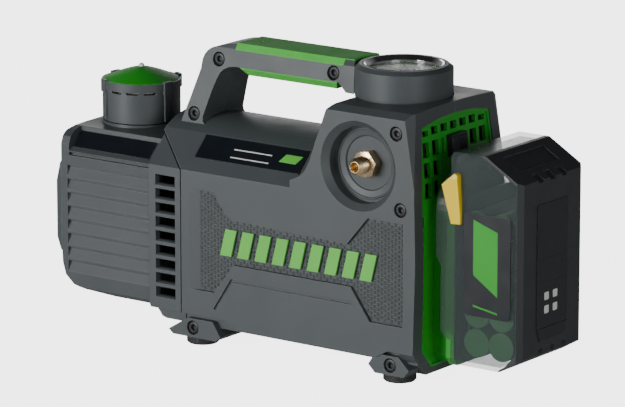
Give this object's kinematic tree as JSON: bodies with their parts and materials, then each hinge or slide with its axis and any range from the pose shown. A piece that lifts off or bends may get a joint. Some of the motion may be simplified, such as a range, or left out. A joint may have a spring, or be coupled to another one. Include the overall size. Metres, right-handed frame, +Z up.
{
  "type": "hvac vacuum pump",
  "caption": "Cordless rotary-vane vacuum pump: ribbed oil case with a screw-on exhaust cap, carry handle, top gauge, flare inlet and slide-on battery.",
  "frame": {"origin": "on the ground under the middle of the pump, on the body's centre plane", "axes": "+X towards the battery, -Y towards the gas inlet on the front, +Z up"},
  "size_m": [0.3571, 0.1027, 0.1929],
  "materials": {
    "shell_grey": "fine moulded texture",
    "case_grey": "grey paint on cast aluminium",
    "dark_plastic": "matt",
    "panel_texture": "knurled",
    "label_black": "gloss film",
    "soft_green": "soft-touch overmould",
    "green_plastic": "satin",
    "letter_green": "satin",
    "smoke_plastic": "translucent",
    "pack_dark": "fine moulded texture",
    "yellow_plastic": "satin",
    "chrome": "polished",
    "brass": "machined",
    "copper": "drawn",
    "steel": "machined",
    "cast_grey": "cast",
    "iron": "machined",
    "winding": "enamelled wire and laminations",
    "dial_white": "printed",
    "clear_glass": "polished",
    "rubber_black": "matt",
    "board_green": "solder mask",
    "cell_wrap": "shrink sleeve",
    "vane_brown": "filled resin",
    "white_plastic": "satin",
    "filter_fibre": "felted"
  },
  "bodies": {
    "root": {"front_housing": "shell_grey", "rear_housing": "shell_grey", "vent_collar": "shell_grey", "oil_case": "case_grey", "case_gasket": "rubber_black", "end_cover": "case_grey", "sight_glass": "clear_glass", "sight_glass_ring": "dark_plastic", "filler_neck": "dark_plastic", "grip_top": "soft_green", "grip_under": "soft_green", "side_panels": "panel_texture", "emblem_bars": "letter_green", "shoulder_labels": "label_black", "case_labels": "label_black", "gauge_case": "shell_grey", "gauge_bezel": "chrome", "gauge_dial": "dial_white", "gauge_lens": "clear_glass", "gauge_stem": "brass", "inlet_cup": "shell_grey", "inlet_fitting": "brass", "valve_block": "cast_grey", "suction_pipe": "copper", "end_grille": "green_plastic", "battery_dock": "green_plastic", "terminal_block": "dark_plastic", "switch_frame": "dark_plastic", "motor_can": "steel", "motor_magnets": "iron", "bearings": "steel", "pump_stator": "iron", "pump_flange": "cast_grey", "pump_end_plate": "iron", "exhaust_valve": "steel", "controller_board": "board_green", "housing_screws": "dark_plastic", "rubber_feet": "rubber_black"},
    "rotor": {"armature": "winding", "drive_shaft": "steel", "cooling_fan": "dark_plastic", "pump_rotor": "steel", "vanes": "vane_brown"},
    "rocker": {"switch_rocker": "dark_plastic"},
    "battery": {"battery_outer": "pack_dark", "battery_inner": "smoke_plastic", "battery_cells": "cell_wrap", "battery_board": "board_green", "end_label": "label_black", "pack_labels": "label_black"},
    "front_latch": {"latch_front": "yellow_plastic"},
    "rear_latch": {"latch_rear": "yellow_plastic"},
    "cap_thread": {"cap_seal": "rubber_black"},
    "cap": {"cap_body": "shell_grey", "cap_dome": "green_plastic", "cap_knob": "white_plastic", "demister": "filter_fibre"},
    "drain_thread": {"drain_seal": "rubber_black"},
    "drain": {"drain_plug": "brass"},
    "needle": {"gauge_needle": "dark_plastic"}
  },
  "joints": [
    {"name": "rotor_spin", "type": "hinge", "parent": "root", "child": "rotor", "pos_m": [0, 0, 0.074], "axis": [1, 0, 0], "continuous": true},
    {"name": "power_rocker", "type": "hinge", "parent": "root", "child": "rocker", "pos_m": [0.10628, 0, 0.14604], "axis": [-0.0872, 0, 0.9962], "range_deg": [0, 14]},
    {"name": "battery_slide", "type": "slide", "parent": "root", "child": "battery", "axis": [0, 0, 1], "range_m": [0, 0.095]},
    {"name": "front_latch_press", "type": "slide", "parent": "battery", "child": "front_latch", "axis": [0, 1, 0], "range_m": [0, 0.0015], "stiffness_N_per_m": 400, "springref_m": -0.001},
    {"name": "rear_latch_press", "type": "slide", "parent": "battery", "child": "rear_latch", "axis": [0, -1, 0], "range_m": [0, 0.0015], "stiffness_N_per_m": 400, "springref_m": -0.001},
    {"name": "cap_lift", "type": "slide", "parent": "root", "child": "cap_thread", "axis": [0, 0, 1], "range_m": [0, 0.008]},
    {"name": "cap_turn", "type": "hinge", "parent": "cap_thread", "child": "cap", "pos_m": [-0.1423, 0, 0.14], "axis": [0, 0, 1], "range_deg": [0, 720]},
    {"name": "drain_lift", "type": "slide", "parent": "root", "child": "drain_thread", "axis": [-1, 0, 0], "range_m": [0, 0.006]},
    {"name": "drain_turn", "type": "hinge", "parent": "drain_thread", "child": "drain", "pos_m": [-0.17, 0, 0.0335], "axis": [-1, 0, 0], "range_deg": [0, 1442]},
    {"name": "gauge_needle_turn", "type": "hinge", "parent": "root", "child": "needle", "pos_m": [0.0665, 0, 0.186], "axis": [0, 0, 1], "range_deg": [0, 270], "stiffness_Nm_per_rad": 0.00002}
  ],
  "couplings": [
    {"joint": "cap_lift", "follows": "cap_turn", "m_per_rad": 0.00063662},
    {"joint": "drain_turn", "follows": "drain_lift", "rad_per_m": 4188.8}
  ]
}
